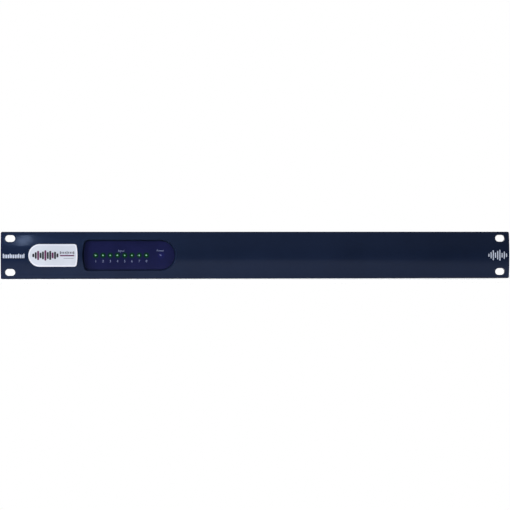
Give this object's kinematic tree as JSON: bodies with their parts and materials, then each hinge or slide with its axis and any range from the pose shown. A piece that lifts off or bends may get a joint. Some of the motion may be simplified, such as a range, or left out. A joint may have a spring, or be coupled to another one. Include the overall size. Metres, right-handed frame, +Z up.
{
  "type": "rack microphone preamp",
  "caption": "One-unit rack microphone preamp with a bowed blue front panel, a pill-shaped badge, a recessed row of signal lamps and a rear panel of pluggable inputs.",
  "frame": {"origin": "centre of the four rack slots, on the plane where the front panel's back meets the rack rails", "axes": "+X to the right seen from the front, +Y towards the rear, +Z up; the front panel faces -Y"},
  "size_m": [0.4826, 0.2405, 0.0444],
  "materials": {
    "panel_paint": "satin",
    "chassis_paint": "satin",
    "badge_plastic": "gloss",
    "overlay_film": "gloss",
    "green_light_pipe": "gloss",
    "blue_light_pipe": "gloss",
    "circuit_board": "satin",
    "brown_board": "satin",
    "led_resin": "satin",
    "ribbon_vinyl": "satin",
    "black_plastic": "satin",
    "rocker_plastic": "gloss",
    "red_plastic": "satin",
    "white_plastic": "satin",
    "green_plastic": "satin",
    "chip_resin": "matte",
    "capacitor_sleeve": "satin",
    "transformer_tape": "satin",
    "wire_vinyl": "satin",
    "zinc_screws": "satin",
    "black_screws": "satin",
    "bright_steel": "polished",
    "socket_shield": "satin",
    "standoff_brass": "satin",
    "heatsink": "satin",
    "fuse_glass": "gloss"
  },
  "bodies": {
    "chassis": {"front_panel": "panel_paint", "badge_plate": "badge_plastic", "display_overlay": "overlay_film", "signal_light_pipes": "green_light_pipe", "power_light_pipe": "blue_light_pipe", "display_board": "circuit_board", "display_leds": "led_resin", "display_board_screws": "zinc_screws", "ribbon_cable": "ribbon_vinyl", "ribbon_connectors": "black_plastic", "panel_screws": "zinc_screws", "base_tray": "chassis_paint", "top_cover": "chassis_paint", "cover_side_screws": "black_screws", "cover_top_screws": "black_screws", "main_board": "circuit_board", "board_standoffs": "standoff_brass", "board_screws": "zinc_screws", "input_headers": "green_plastic", "preamp_chips": "chip_resin", "coupling_capacitors": "capacitor_sleeve", "processor_chip": "chip_resin", "link_sockets": "socket_shield", "phantom_switch_body": "red_plastic", "earth_stud": "bright_steel", "power_inlet": "black_plastic", "inlet_pins": "bright_steel", "power_switch_body": "black_plastic", "psu_board": "brown_board", "psu_transformer": "transformer_tape", "psu_capacitors": "capacitor_sleeve", "psu_heatsink": "heatsink", "mains_wires": "wire_vinyl"},
    "input_plug_1": {"terminal_block_1": "green_plastic", "terminal_screws_1": "zinc_screws"},
    "input_plug_2": {"terminal_block_2": "green_plastic", "terminal_screws_2": "zinc_screws"},
    "input_plug_3": {"terminal_block_3": "green_plastic", "terminal_screws_3": "zinc_screws"},
    "input_plug_4": {"terminal_block_4": "green_plastic", "terminal_screws_4": "zinc_screws"},
    "input_plug_5": {"terminal_block_5": "green_plastic", "terminal_screws_5": "zinc_screws"},
    "input_plug_6": {"terminal_block_6": "green_plastic", "terminal_screws_6": "zinc_screws"},
    "input_plug_7": {"terminal_block_7": "green_plastic", "terminal_screws_7": "zinc_screws"},
    "input_plug_8": {"terminal_block_8": "green_plastic", "terminal_screws_8": "zinc_screws"},
    "phantom_1": {"phantom_slider_1": "white_plastic"},
    "phantom_2": {"phantom_slider_2": "white_plastic"},
    "phantom_3": {"phantom_slider_3": "white_plastic"},
    "phantom_4": {"phantom_slider_4": "white_plastic"},
    "phantom_5": {"phantom_slider_5": "white_plastic"},
    "phantom_6": {"phantom_slider_6": "white_plastic"},
    "phantom_7": {"phantom_slider_7": "white_plastic"},
    "phantom_8": {"phantom_slider_8": "white_plastic"},
    "fuse_holder": {"fuse_drawer": "black_plastic", "mains_fuses": "fuse_glass"},
    "rocker": {"power_rocker": "rocker_plastic"}
  },
  "joints": [
    {"name": "input_plug_1_pull", "type": "slide", "parent": "chassis", "child": "input_plug_1", "axis": [0, 1, 0], "range_m": [0, 0.012]},
    {"name": "input_plug_2_pull", "type": "slide", "parent": "chassis", "child": "input_plug_2", "axis": [0, 1, 0], "range_m": [0, 0.012]},
    {"name": "input_plug_3_pull", "type": "slide", "parent": "chassis", "child": "input_plug_3", "axis": [0, 1, 0], "range_m": [0, 0.012]},
    {"name": "input_plug_4_pull", "type": "slide", "parent": "chassis", "child": "input_plug_4", "axis": [0, 1, 0], "range_m": [0, 0.012]},
    {"name": "input_plug_5_pull", "type": "slide", "parent": "chassis", "child": "input_plug_5", "axis": [0, 1, 0], "range_m": [0, 0.012]},
    {"name": "input_plug_6_pull", "type": "slide", "parent": "chassis", "child": "input_plug_6", "axis": [0, 1, 0], "range_m": [0, 0.012]},
    {"name": "input_plug_7_pull", "type": "slide", "parent": "chassis", "child": "input_plug_7", "axis": [0, 1, 0], "range_m": [0, 0.012]},
    {"name": "input_plug_8_pull", "type": "slide", "parent": "chassis", "child": "input_plug_8", "axis": [0, 1, 0], "range_m": [0, 0.012]},
    {"name": "phantom_1_switch", "type": "slide", "parent": "chassis", "child": "phantom_1", "axis": [0, 0, 1], "range_m": [0, 0.0019]},
    {"name": "phantom_2_switch", "type": "slide", "parent": "chassis", "child": "phantom_2", "axis": [0, 0, 1], "range_m": [0, 0.0019]},
    {"name": "phantom_3_switch", "type": "slide", "parent": "chassis", "child": "phantom_3", "axis": [0, 0, 1], "range_m": [0, 0.0019]},
    {"name": "phantom_4_switch", "type": "slide", "parent": "chassis", "child": "phantom_4", "axis": [0, 0, 1], "range_m": [0, 0.0019]},
    {"name": "phantom_5_switch", "type": "slide", "parent": "chassis", "child": "phantom_5", "axis": [0, 0, 1], "range_m": [0, 0.0019]},
    {"name": "phantom_6_switch", "type": "slide", "parent": "chassis", "child": "phantom_6", "axis": [0, 0, 1], "range_m": [0, 0.0019]},
    {"name": "phantom_7_switch", "type": "slide", "parent": "chassis", "child": "phantom_7", "axis": [0, 0, 1], "range_m": [0, 0.0019]},
    {"name": "phantom_8_switch", "type": "slide", "parent": "chassis", "child": "phantom_8", "axis": [0, 0, 1], "range_m": [0, 0.0019]},
    {"name": "fuse_drawer_pull", "type": "slide", "parent": "chassis", "child": "fuse_holder", "axis": [0, 1, 0], "range_m": [0, 0.02]},
    {"name": "power_rocker_tilt", "type": "hinge", "parent": "chassis", "child": "rocker", "pos_m": [0.153, 0.2168, 0], "axis": [1, 0, 0], "range_deg": [-16, 0]}
  ]
}
